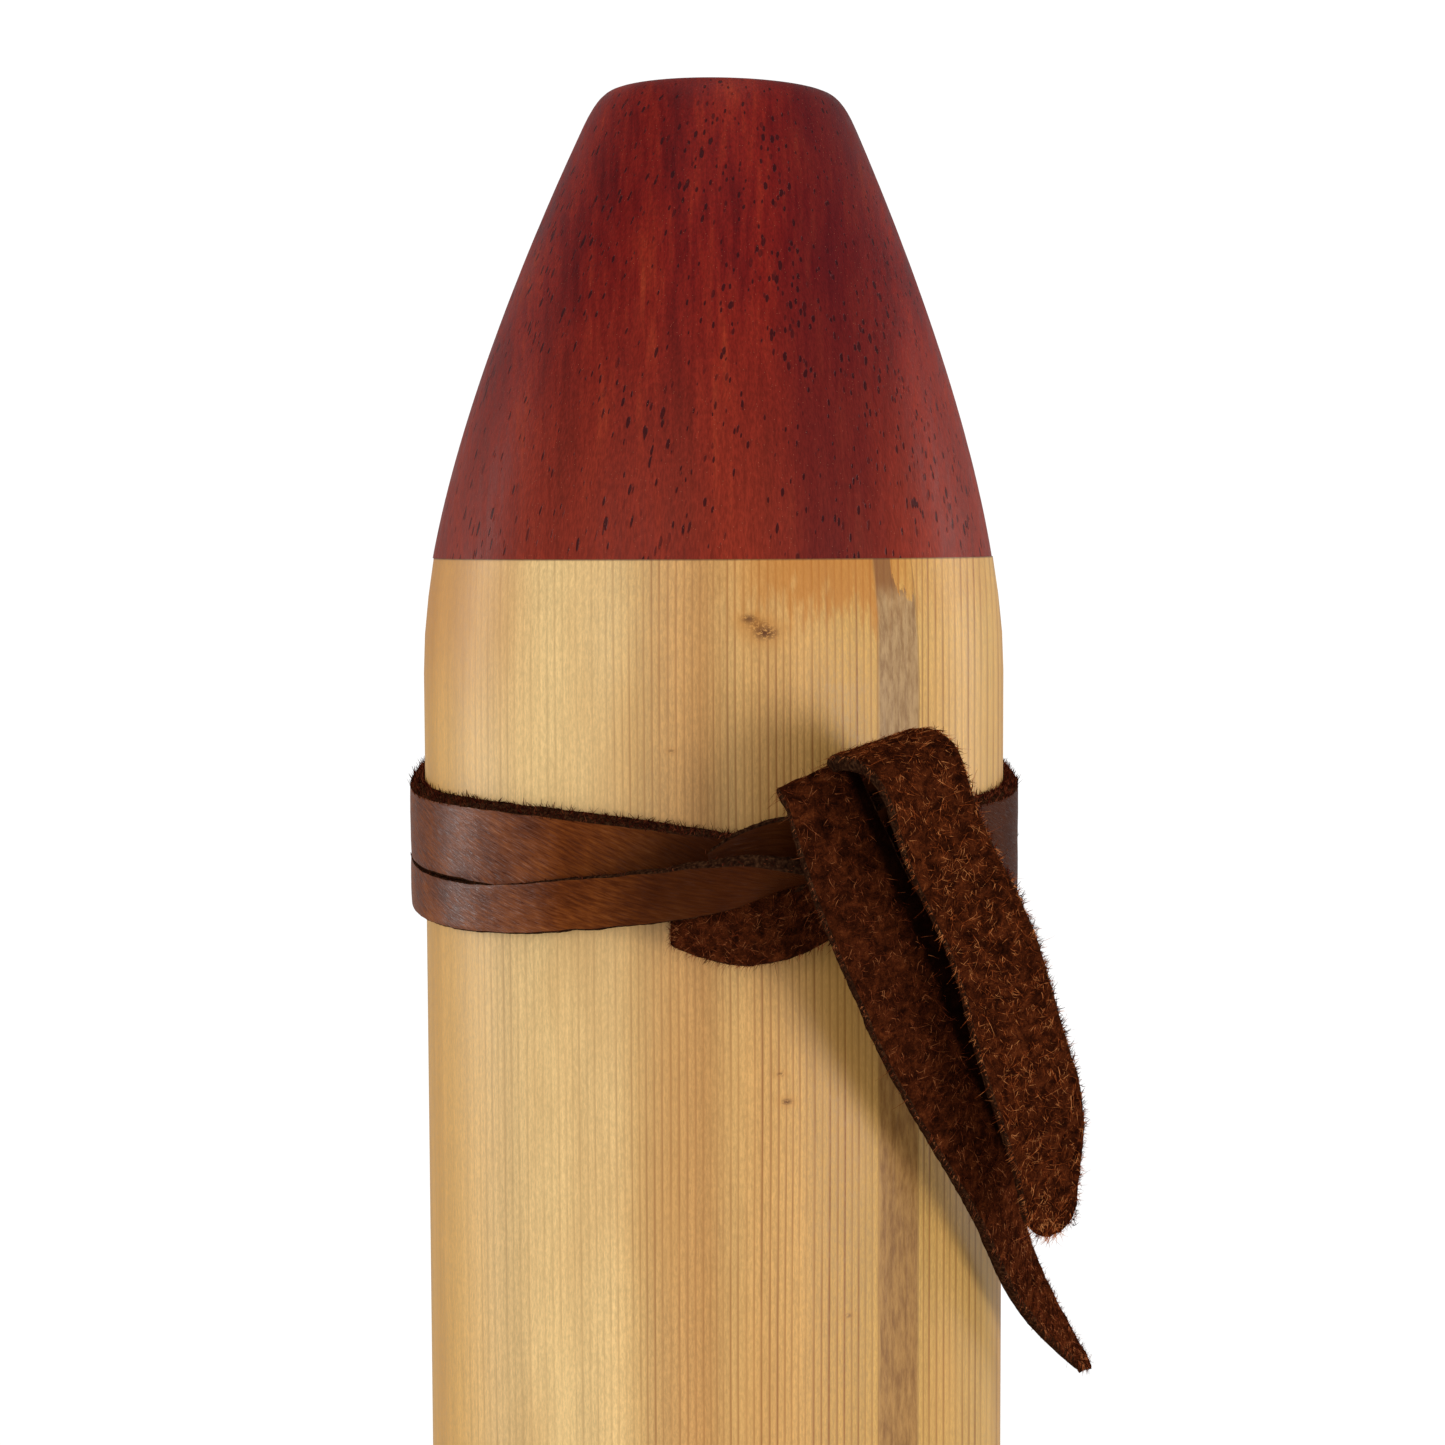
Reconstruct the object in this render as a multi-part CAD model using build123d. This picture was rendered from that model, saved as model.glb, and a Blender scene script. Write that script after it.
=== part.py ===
from build123d import *
import math
import os

# A wooden rainstick, in millimetres, +Z up along the stick. The origin is the centre of the bottom
# cap's flat end face, and the laced end is the upper one. -Y is the front, where the lace is knotted.
# Two half shells make the tube. A turned hardwood cap closes each end with a spigot in the bore.
# Baffle pins are glued in blind holes in a helix, and pebbles fall between them, lane by lane.

# Driving dimensions
TUBE_R = 25.0
BORE_R = 18.0
TUBE_LENGTH = 321.5
CAP_HEIGHT = 39.25

# Outline of each end, measured from its seam (the joint between cap and tube) and its end face
END_FLAT_R = 9.16
CORNER_R = 11.67
CORNER_DROP = 2.9
SIDE_SLOPE = 0.454
SIDE_HANDLE = 15.4
SHOULDER_BELOW_SEAM = 9.7
SHOULDER_HANDLE = 13.45
TOP_CAP_LEAN = 0.77

SPIGOT_LENGTH = 12.0
SPIGOT_CLEARANCE = 0.1
SPIGOT_CHAMFER = 1.0

# The glue line between the half shells, as an azimuth from the front towards +X
SEAM_AZIMUTH = 41.0

# Baffle pins: each is fixed in one wall and stops just short of the opposite one
PIN_COUNT = 36
PIN_R = 1.2
PIN_STEP_DEG = 30.0
PIN_PITCH = 7.5
PIN_SOCKET = 4.0
PIN_END_GAP = 0.6

# Pebbles: in each lane between two pin directions there is an outer and an inner column
LANE_COUNT = 12
OUTER_PEBBLE_R = 2.2
OUTER_PEBBLE_COUNT = 6
OUTER_COLUMN_R = 15.4
INNER_PEBBLE_R = 1.1
INNER_PEBBLE_COUNT = 10
INNER_COLUMN_R = 10.4
PEBBLE_GAP = 0.1
HEAP_CLEARANCE = 0.35

# Leather lace: two turns round the tube, a knot, and two hanging tails
LACE_WIDTH = 6.8
LACE_THICKNESS = 1.4
WRAP_CLEARANCE = 0.02
WRAP_R = TUBE_R + LACE_THICKNESS + 0.3
UPPER_TURN_TOP = 340.6
UPPER_TURN_HEIGHT = 6.1
LOWER_TURN_HEIGHT = 4.1
WRAP_TILT_DEG = 4.0
KNOT_AZIMUTHS = (-3.0, 42.0)
KNOT_R = 30.4
KNOT_BOTTOM = 328.5
KNOT_TOP = 345.5
KNOT_ROUNDING = 1.5

# The tails' routes, from the knot to the tip
FRONT_TAIL = [
    (11.9, -28.3, 342.6),
    (12.6, -30.8, 346.0),
    (15.0, -34.4, 345.6),
    (16.6, -34.8, 340.2),
    (20.6, -31.9, 332.2),
    (23.2, -28.8, 324.0),
    (25.6, -26.4, 316.2),
    (26.4, -24.0, 308.2),
]
BACK_TAIL = [
    (7.4, -29.5, 339.6),
    (8.9, -31.6, 335.8),
    (11.9, -30.0, 330.6),
    (15.6, -26.8, 323.6),
    (19.4, -22.8, 316.2),
    (22.5, -18.6, 309.0),
    (24.9, -13.4, 302.2),
    (28.3, -7.6, 295.6),
    (32.2, -2.6, 289.9),
]

TOP_SEAM = CAP_HEIGHT + TUBE_LENGTH
STICK_LENGTH = TOP_SEAM + CAP_HEIGHT
FLOOR = CAP_HEIGHT + SPIGOT_LENGTH
CEILING = TOP_SEAM - SPIGOT_LENGTH
FIRST_PIN = CAP_HEIGHT + (TUBE_LENGTH - (PIN_COUNT - 1) * PIN_PITCH) / 2
HEAP_HEIGHT = OUTER_PEBBLE_COUNT * (2 * OUTER_PEBBLE_R + PEBBLE_GAP) - PEBBLE_GAP
FALL = CEILING - FLOOR - HEAP_HEIGHT - 2 * HEAP_CLEARANCE
FAR = 2 * STICK_LENGTH


def around(azimuth, radius=1.0):
    """The point at that azimuth, in degrees from the front towards +X."""
    angle = math.radians(azimuth)
    return radius * math.sin(angle), -radius * math.cos(angle)


def end_outline():
    """One end of the stick as curves in the XZ plane, from its axis to the full radius.

    Z is 0 at the seam and grows towards the end face."""
    corner_start = (END_FLAT_R, CAP_HEIGHT)
    corner_apex = (CORNER_R - SIDE_SLOPE * CORNER_DROP, CAP_HEIGHT)
    corner_end = (CORNER_R, CAP_HEIGHT - CORNER_DROP)
    reach = SIDE_HANDLE / math.hypot(SIDE_SLOPE, 1)
    side_handle = (CORNER_R + SIDE_SLOPE * reach, corner_end[1] - reach)
    shoulder = (TUBE_R, -SHOULDER_BELOW_SEAM)
    shoulder_handle = (TUBE_R, SHOULDER_HANDLE - SHOULDER_BELOW_SEAM)
    return [
        Line((0, CAP_HEIGHT), corner_start),
        Bezier(corner_start, corner_apex, corner_end),
        Bezier(corner_end, side_handle, shoulder_handle, shoulder),
    ]


def turned_end():
    """A solid of revolution that holds one cap and the shoulder of the tube beside it."""
    outline = end_outline()
    depth = -2 * SHOULDER_BELOW_SEAM
    outline.append(Polyline((TUBE_R, -SHOULDER_BELOW_SEAM), (TUBE_R, depth), (0, depth), (0, CAP_HEIGHT)))
    return revolve(Plane.XZ * make_face(outline), Axis.Z)


def half_space(z, above):
    """A block that fills everything above or below a height."""
    return Pos(0, 0, z + (FAR / 2 if above else -FAR / 2)) * Box(FAR, FAR, FAR)


def cap(lean_deg):
    """An end cap with its spigot, standing on its seam, its end face up."""
    body = Rot(0, lean_deg, 0) * turned_end() & half_space(0, above=True)
    spigot = Pos(0, 0, -SPIGOT_LENGTH / 2) * Cylinder(BORE_R - SPIGOT_CLEARANCE, SPIGOT_LENGTH)
    spigot = chamfer(spigot.edges().sort_by(Axis.Z)[0], SPIGOT_CHAMFER)
    return body + spigot


def tube():
    """The tube's outside with both shoulders, bored through."""
    top = turned_end() & half_space(0, above=False)
    middle_length = TUBE_LENGTH - 4 * SHOULDER_BELOW_SEAM
    middle = Pos(0, 0, CAP_HEIGHT + TUBE_LENGTH / 2) * Cylinder(TUBE_R, middle_length)
    body = Pos(0, 0, TOP_SEAM) * top + middle + Pos(0, 0, CAP_HEIGHT) * Rot(180, 0, 0) * top
    return body - Pos(0, 0, STICK_LENGTH / 2) * Cylinder(BORE_R, STICK_LENGTH)


def pin(index):
    """One baffle pin, lying across the bore, and the azimuth of the wall that holds it."""
    azimuth = SEAM_AZIMUTH + PIN_STEP_DEG * (index + 0.5)
    length = 2 * BORE_R + PIN_SOCKET - PIN_END_GAP
    root = around(azimuth, BORE_R + PIN_SOCKET)
    z = FIRST_PIN + index * PIN_PITCH
    inward = around(azimuth + 180)
    axis = Plane(origin=(root[0], root[1], z), z_dir=(inward[0], inward[1], 0))
    return axis * Cylinder(PIN_R, length, align=(Align.CENTER, Align.CENTER, Align.MIN)), azimuth


def pebble_lane(index):
    """The pebbles of one lane, heaped on the bottom spigot."""
    azimuth = SEAM_AZIMUTH + PIN_STEP_DEG * index
    columns = [
        (OUTER_COLUMN_R, OUTER_PEBBLE_R, OUTER_PEBBLE_COUNT),
        (INNER_COLUMN_R, INNER_PEBBLE_R, INNER_PEBBLE_COUNT),
    ]
    pebbles = []
    for column_r, pebble_r, count in columns:
        x, y = around(azimuth, column_r)
        for place in range(count):
            z = FLOOR + HEAP_CLEARANCE + pebble_r + place * (2 * pebble_r + PEBBLE_GAP)
            pebbles.append(Pos(x, y, z) * Sphere(pebble_r))
    return Compound(children=pebbles)


def knot_sector():
    """A wedge from the axis outwards, between the knot's two azimuths."""
    first, last = (around(azimuth, 3 * TUBE_R) for azimuth in KNOT_AZIMUTHS)
    wedge = make_face(Polyline((0, 0), first, last, close=True))
    return extrude(wedge, STICK_LENGTH)


def lace_turn(top, height):
    """One turn of the lace, open where the knot closes it, and higher at the back."""
    middle = top - height / 2
    band = Pos(0, 0, middle) * Cylinder(WRAP_R, FAR / 4)
    band -= Pos(0, 0, middle) * Cylinder(TUBE_R + WRAP_CLEARANCE, FAR / 4)
    rise = TUBE_R * math.tan(math.radians(WRAP_TILT_DEG))
    thickness = height * math.cos(math.radians(WRAP_TILT_DEG))
    slab = Pos(0, 0, middle + rise) * Rot(WRAP_TILT_DEG, 0, 0) * Box(FAR, FAR, thickness)
    return (band & slab) - knot_sector()


def lace_knot():
    """The closed outer shape of the knot, resting on the tube."""
    height = KNOT_TOP - KNOT_BOTTOM
    block = Pos(0, 0, (KNOT_TOP + KNOT_BOTTOM) / 2) * Cylinder(KNOT_R, height)
    block &= knot_sector()
    block -= Pos(0, 0, (KNOT_TOP + KNOT_BOTTOM) / 2) * Cylinder(TUBE_R + WRAP_CLEARANCE, height)
    outer = block.edges().filter_by(GeomType.CIRCLE)
    outer = [edge for edge in outer if edge.radius > (TUBE_R + KNOT_R) / 2]
    return fillet(outer, KNOT_ROUNDING)


def corner_radii(name, points):
    """Arcs as large as the runs beside each corner allow, printed as they are worked out."""
    radii = []
    for before, corner, after in zip(points, points[1:], points[2:]):
        run_in = Vector(*corner) - Vector(*before)
        run_out = Vector(*after) - Vector(*corner)
        half_turn = math.radians(run_in.get_angle(run_out)) / 2
        radii.append(0.45 * min(run_in.length, run_out.length) / math.tan(half_turn))
    print(f"{name}: corner radii", " ".join(f"{radius:.1f}" for radius in radii))
    return radii


def lace_tail(name, points):
    """A flat tail swept along its route, its volume printed beside section times length."""
    path = FilletPolyline(*points, radius=corner_radii(name, points))
    start = path @ 0
    along = path % 0
    outward = Vector(start.X, start.Y, 0)
    across = along.cross(outward).normalized()
    section = Plane(origin=start, x_dir=across, z_dir=along) * Rectangle(LACE_WIDTH, LACE_THICKNESS)
    tail = sweep(section, path=path)
    print(f"{name}: volume {tail.volume:.1f}, section times length {section.area * path.length:.1f}")
    return tail


def build_parts():
    """Every node of the stick, by name."""
    parts = {}
    seam_x, seam_y = around(SEAM_AZIMUTH)
    split_plane = Plane(origin=(0, 0, 0), x_dir=(seam_x, seam_y, 0), z_dir=(-seam_y, seam_x, 0))
    back_half = split_plane * Box(FAR, 2 * FAR, FAR, align=(Align.CENTER, Align.CENTER, Align.MIN))
    whole_tube = tube()
    shells = {
        "back_right_shell": whole_tube & back_half,
        "front_left_shell": whole_tube - back_half,
    }
    for index in range(PIN_COUNT):
        solid, azimuth = pin(index)
        side = "back_right_shell" if (azimuth - SEAM_AZIMUTH) % 360 < 180 else "front_left_shell"
        shells[side] -= solid
        parts[f"baffle_pin_{index + 1:02d}"] = solid
    parts.update(shells)

    lean = math.degrees(math.atan(TOP_CAP_LEAN / CAP_HEIGHT))
    parts["top_cap"] = Pos(0, 0, TOP_SEAM) * cap(lean)
    parts["bottom_cap"] = Pos(0, 0, CAP_HEIGHT) * Rot(180, 0, 0) * cap(0)

    for index in range(LANE_COUNT):
        parts[f"pebbles_{index + 1:02d}"] = pebble_lane(index)

    parts["lace_upper_turn"] = lace_turn(UPPER_TURN_TOP, UPPER_TURN_HEIGHT)
    parts["lace_lower_turn"] = lace_turn(UPPER_TURN_TOP - UPPER_TURN_HEIGHT, LOWER_TURN_HEIGHT)
    parts["lace_knot"] = lace_knot()
    parts["lace_front_tail"] = lace_tail("lace_front_tail", FRONT_TAIL)
    parts["lace_back_tail"] = lace_tail("lace_back_tail", BACK_TAIL)
    return parts


os.makedirs("parts", exist_ok=True)
for node, shape in build_parts().items():
    export_step(shape, f"parts/{node}.step")
print(f"pebbles fall {FALL:.2f} mm")
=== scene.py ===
import math
import random

import bpy
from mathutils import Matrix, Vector, noise


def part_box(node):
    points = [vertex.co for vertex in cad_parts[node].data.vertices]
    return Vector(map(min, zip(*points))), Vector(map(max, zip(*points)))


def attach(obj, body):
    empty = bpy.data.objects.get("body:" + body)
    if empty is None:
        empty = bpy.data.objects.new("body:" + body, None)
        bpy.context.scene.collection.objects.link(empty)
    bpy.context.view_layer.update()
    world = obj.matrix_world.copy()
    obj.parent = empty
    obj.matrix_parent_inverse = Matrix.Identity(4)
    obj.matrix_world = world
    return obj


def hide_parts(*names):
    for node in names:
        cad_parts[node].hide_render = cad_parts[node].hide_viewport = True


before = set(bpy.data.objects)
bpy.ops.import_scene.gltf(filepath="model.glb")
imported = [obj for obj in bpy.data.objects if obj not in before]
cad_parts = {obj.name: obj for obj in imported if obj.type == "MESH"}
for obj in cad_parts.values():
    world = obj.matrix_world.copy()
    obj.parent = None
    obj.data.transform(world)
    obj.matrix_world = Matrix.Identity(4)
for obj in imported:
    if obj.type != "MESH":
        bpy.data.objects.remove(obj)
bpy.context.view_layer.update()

MM = 0.001
SEAM_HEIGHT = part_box("front_left_shell")[1].z / MM
TUBE_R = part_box("front_left_shell")[0].x / -MM

scene = bpy.context.scene


# ---------------------------------------------------------------- camera

camera_data = bpy.data.cameras.new("camera")
camera_data.sensor_width = 36
camera_data.lens = 64.58
camera_data.clip_start = 0.01
camera = bpy.data.objects.new("camera", camera_data)
camera.location = (0.8 * MM, -224.6 * MM, (SEAM_HEIGHT + 1.68) * MM)
camera.rotation_euler = (math.radians(90 - 4.085), math.radians(0.206), 0)
scene.collection.objects.link(camera)
scene.camera = camera


# ---------------------------------------------------------------- the lace's route

LACE_THICKNESS = 1.25
WRAP_R = TUBE_R + 0.05 + LACE_THICKNESS / 2
TURN_STEP_DEG = 15
BACK_RISE = 7.5
BACK_START_DEG = 65
SPLINE_RESOLUTION = 18

# The lace's width direction as shares of out, round and up at the azimuth that it faces
LEFT = (0, -1, 0)
RIGHT = (0, 1, 0)
UP = (0, 0, 1)
DOWN = (0, 0, -1)
IN = (-1, 0, 0)

# Free tails as x, y, z, the azimuth that they face, and the width: the front one from its tip, the back
# one to its tip. At its crest each tail leans over.
FRONT_TAIL = [
    (26.3, -23.6, 307.8, 30, 4.3),
    (26.05, -24.9, 312.1, 30, 5.4),
    (25.6, -26.4, 317.0, 28, 7.5),
    (23.2, -28.6, 324.0, 26, 7.5),
    (20.9, -31.7, 332.2, 24, 7.0),
    (16.7, -34.5, 340.0, 22, 6.7),
    (15.0, -35.2, 346.5, 24, 7.2),
    (11.3, -31.0, 346.7, 26, 6.8),
]
BACK_TAIL = [
    (8.0, -31.9, 344.1, 14, 6.0),
    (9.5, -32.2, 340.0, 16, 6.9),
    (11.1, -31.4, 335.8, 20, 7.5),
    (13.9, -29.6, 330.2, 24, 8.3),
    (16.4, -26.6, 323.4, 30, 7.8),
    (19.5, -22.8, 316.2, 40, 6.5),
    (22.6, -18.6, 309.0, 50, 5.0),
    (24.8, -13.6, 302.2, 60, 4.6),
    (28.3, -7.6, 295.6, 62, 3.5),
    (32.2, -2.6, 289.9, 64, 0.6),
]

FRONT_CREST_HEIGHT = 345
FRONT_CREST_ACROSS = (0, -1, -0.2)
BACK_CREST_ACROSS = (0, 1, 0.45)

# Stretches on the stick as azimuth, radius, height, width direction, width
RISER = [
    (24, 30.2, 344.4, LEFT, 6.0),
    (31, 28.8, 341.0, LEFT, 5.6),
    (37, 27.9, 338.6, LEFT, 5.4),
]
HIDDEN_FOLD = [
    (39, 27.6, 336.6, (0, -1, -0.6), 6.4),
    (36, 27.7, 335.4, (0, -0.4, -1), 6.0),
]
UNDER_LOOP = [
    (27, 27.3, 335.6, DOWN, 5.4),
    (19, 27.3, 334.6, DOWN, 5.6),
    (12, 27.3, 332.9, DOWN, 5.8),
    (5, 27.1, 332.2, DOWN, 5.6),
    (-1, 27.0, 332.7, DOWN, 5.2),
    (-5.4, 26.9, 333.2, DOWN, 4.4),
    (-6.2, 25.8, 333.4, DOWN, 4.6),
]
CROSSING = [
    (-2, 25.7, 333.7, DOWN, 6.0),
    (1.5, 25.9, 334.9, DOWN, 6.8),
    (5, 26.4, 336.2, DOWN, 6.8),
    (9, 26.8, 337.3, DOWN, 6.8),
    (13, 26.9, 337.8, DOWN, 6.6),
    (18, 26.5, 337.5, DOWN, 6.4),
    (24, 26.1, 336.2, DOWN, 6.0),
    (31, 25.9, 334.9, DOWN, 5.8),
    (42, 25.8, 334.1, DOWN, 5.8),
    (54, 25.8, 333.5, DOWN, 5.8),
]
LOWER_TURN_END = [
    (-52, 25.8, 332.65, DOWN, 4.1),
    (-41, 25.8, 332.95, DOWN, 4.1),
    (-32, 26.0, 333.4, (0.02, 0, -1), 4.2),
    (-24, 26.6, 333.95, (0, 0, -1), 4.2),
    (-16, 27.5, 334.5, (-0.04, 0, -1), 4.2),
    (-9, 28.4, 335.05, (-0.14, 0, -1), 4.2),
    (-2.5, 29.2, 335.65, (-0.22, 0, -1), 4.2),
    (3.5, 29.7, 336.4, (-0.5, 0, -1), 4.2),
    (8.5, 30.0, 336.9, (-1, 0, -0.75), 4.2),
    (14, 30.1, 337.0, (-1, 0, -0.25), 4.0),
    (20, 30.0, 336.6, IN, 3.8),
    (25, 29.9, 336.2, IN, 3.6),
]
BIGHT = [
    (29.5, 29.9, 336.6, IN, 3.6),
    (31, 29.9, 339.5, IN, 3.6),
    (29.5, 29.9, 342.3, IN, 3.6),
    (25, 29.4, 342.8, IN, 3.8),
    (21, 28.3, 341.4, (-1, 0, 0.4), 4.4),
    (17, 27.2, 339.6, (-1, 0, 1), 5.0),
    (12.5, 26.3, 337.7, (-0.4, 0, 1), 6.0),
]
UPPER_TURN_START = [
    (6.7, 25.8, 336.2, UP, 6.8),
    (-2, 25.8, 336.55, UP, 6.8),
    (-11.6, 25.8, 337.25, UP, 6.8),
    (-21, 25.8, 337.65, UP, 6.8),
    (-31, 25.8, 337.95, UP, 6.8),
    (-41, 25.8, 338.1, UP, 6.8),
    (-52, 25.8, 338.2, UP, 6.8),
]
UPPER_TURN_END = [
    (54, 25.8, 338.2, UP, 6.2),
    (44, 25.8, 338.0, UP, 6.2),
    (35, 25.8, 338.1, UP, 6.0),
    (28, 26.0, 338.6, UP, 5.6),
    (22.5, 27.3, 340.2, (0, 0.4, 1), 5.6),
    (18.5, 28.8, 342.2, (0, 1, 0.7), 6.0),
    (15, 30.1, 344.2, (0, 1, 0.35), 6.6),
]


def cylinder_axes(azimuth):
    """The directions out, round and up at an azimuth, in degrees from the front towards +X."""
    angle = math.radians(azimuth)
    out = Vector((math.sin(angle), -math.cos(angle), 0))
    return out, Vector((math.cos(angle), math.sin(angle), 0)), Vector((0, 0, 1))


def stop_on_stick(azimuth, radius, height, across, width):
    """A stop of the lace's centre, with the vector from one edge to the other."""
    axes = cylinder_axes(azimuth)
    place = axes[0] * radius + axes[2] * height
    side = sum((axis * share for axis, share in zip(axes, across)), Vector())
    return place, side.normalized() * width


def tail_stop(x, y, z, facing, width, across):
    """A stop of a free tail, with the vector from one edge to the other."""
    axes = cylinder_axes(facing)
    side = sum((axis * share for axis, share in zip(axes, across)), Vector())
    return Vector((x, y, z)), side.normalized() * width


def back_stops(first, last):
    """The stops of a turn behind the stick, from one front stop to the next, the long way round."""
    sweep = last[0] - first[0]
    count = round(abs(sweep) / TURN_STEP_DEG)
    step = sweep / count
    stops = []
    for index in range(1, count):
        share = index / count
        azimuth = first[0] + sweep * share
        from_front = abs((azimuth + 180) % 360 - 180)
        rise = max(0, (from_front - BACK_START_DEG) / (180 - BACK_START_DEG))
        height = first[2] + (last[2] - first[2]) * share + BACK_RISE * (1 - math.cos(math.pi * rise)) / 2
        radius = WRAP_R / math.cos(math.radians(step / 2))
        width = first[4] + (last[4] - first[4]) * share
        stops.append((azimuth, radius, height, first[3], width))
    return stops


def lace_stops():
    """Every stop of the lace, from the front tail's tip to the back tail's."""
    lower_end = (LOWER_TURN_END[0][0] + 360, *LOWER_TURN_END[0][1:])
    upper_end = (UPPER_TURN_END[0][0] - 360, *UPPER_TURN_END[0][1:])
    on_stick = RISER + HIDDEN_FOLD + UNDER_LOOP + CROSSING
    on_stick = on_stick + back_stops(CROSSING[-1], lower_end) + LOWER_TURN_END + BIGHT
    on_stick = on_stick + UPPER_TURN_START + back_stops(UPPER_TURN_START[-1], upper_end) + UPPER_TURN_END
    stops = []
    for row in FRONT_TAIL:
        stops.append(tail_stop(*row, LEFT if row[2] < FRONT_CREST_HEIGHT else FRONT_CREST_ACROSS))
    stops += [stop_on_stick(*row) for row in on_stick]
    stops.append(tail_stop(*BACK_TAIL[0], BACK_CREST_ACROSS))
    stops += [tail_stop(*row, RIGHT) for row in BACK_TAIL[1:]]
    return square_to_run(stops)


def square_to_run(stops):
    """The same stops, each with its width direction turned square to the lace's run there."""
    squared = []
    for index, (place, side) in enumerate(stops):
        before = stops[max(index - 1, 0)][0]
        after = stops[min(index + 1, len(stops) - 1)][0]
        run = (after - before).normalized()
        square = side - run * side.dot(run)
        if square.length > 0.5 * side.length:
            side = square.normalized() * side.length
        squared.append((place, side))
    return squared


def spline_points(name, places):
    """Points along the smooth NURBS line that has these places as its control points."""
    data = bpy.data.curves.new(name, "CURVE")
    data.dimensions = "3D"
    data.resolution_u = SPLINE_RESOLUTION
    spline = data.splines.new("NURBS")
    spline.points.add(len(places) - 1)
    for point, place in zip(spline.points, places):
        point.co = (*place, 1)
    spline.order_u = 3
    spline.use_endpoint_u = True
    holder = bpy.data.objects.new(name, data)
    scene.collection.objects.link(holder)
    bpy.context.view_layer.update()
    mesh = bpy.data.meshes.new_from_object(holder)
    points = [vertex.co.copy() for vertex in mesh.vertices]
    bpy.data.objects.remove(holder)
    bpy.data.meshes.remove(mesh)
    return points


class Station:
    """One cross-section of the lace, with the length of lace before it."""

    def __init__(self, centre, run, side, grain, width, along):
        self.centre = centre
        self.run = run
        self.side = side
        self.grain = grain
        self.width = width
        self.along = along


def lace_stations():
    """Cross-sections read from the route's spline, with their edges from a second spline beside it."""
    stops = lace_stops()
    centres = spline_points("lace_route", [place for place, _ in stops])
    edges = spline_points("lace_side_route", [place + side for place, side in stops])
    stations = []
    along = 0.0
    for index, centre in enumerate(centres):
        before = centres[max(index - 1, 0)]
        after = centres[min(index + 1, len(centres) - 1)]
        run = (after - before).normalized()
        if index:
            along += (centre - before).length
        across = edges[index] - centre
        side = across.normalized()
        grain = side.cross(run).normalized()
        stations.append(Station(centre, run, side, grain, across.length, along))
    return stations


# ---------------------------------------------------------------- the lace's mesh

GRAIN, EDGE, FLESH = 0, 1, 2
FACE_POINTS = 12
FRONT_TIP_ROUNDING = 2.2
BACK_TIP_ROUNDING = 1.2
UPPER_TURN_BEVEL = 0.75
PLAIN_BEVEL = 0.12
BEVEL_GROWS_OVER = 12
MAP_SCALE = 10
FLESH_MAP_SHIFT = 4


def lace_section():
    """Round one cross-section as (across, outwards, surface), each from -1 to 1."""
    points = []
    for index in range(FACE_POINTS):
        share = -0.93 + 1.86 * index / (FACE_POINTS - 1)
        points.append((share, 1 - 0.08 * share ** 2, GRAIN))
    points += [(0.985, 0.72, EDGE), (1, 0.25, EDGE), (1, -0.35, EDGE), (0.99, -0.85, EDGE)]
    for index in range(FACE_POINTS):
        share = 0.95 - 1.9 * index / (FACE_POINTS - 1)
        points.append((share, -1, FLESH))
    points += [(-0.99, -0.85, EDGE), (-1, -0.35, EDGE), (-1, 0.25, EDGE), (-0.985, 0.72, EDGE)]
    return points


def surface_offset(station, across, level, surface):
    """How far the lace's surface at that place lies off the plain strip, in mm, outwards and sideways."""
    seed = Vector((station.along, across * station.width / 2, 3.0 * surface))
    rough = {GRAIN: 0.018, EDGE: 0.06, FLESH: 0.13}[surface]
    out = rough * noise.fractal(seed * 1.3, 0.6, 2.1, 3)
    wander = 0.10 * noise.noise(Vector((station.along * 0.45, 7.0 + math.copysign(3, across), 0)))
    if surface == EDGE:
        wander += 0.07 * noise.noise(Vector((station.along * 2.3, level * 2, math.copysign(9, across))))
    return out, wander * across


def tip_share(station, total):
    """How much of the full width is left near the two rounded tips."""
    from_tip = min(1.0, (station.along + 0.15) / FRONT_TIP_ROUNDING)
    from_end = min(1.0, (total - station.along + 0.25) / BACK_TIP_ROUNDING)
    return math.sqrt(1 - (1 - from_tip) ** 2) * math.sqrt(1 - (1 - from_end) ** 2)


def bevel_at(station, bight_along):
    """How far the upper edge's grain side is pared back there, in mm."""
    share = min(1.0, max(0.0, (station.along - bight_along) / BEVEL_GROWS_OVER))
    return PLAIN_BEVEL + (UPPER_TURN_BEVEL - PLAIN_BEVEL) * share


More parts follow.
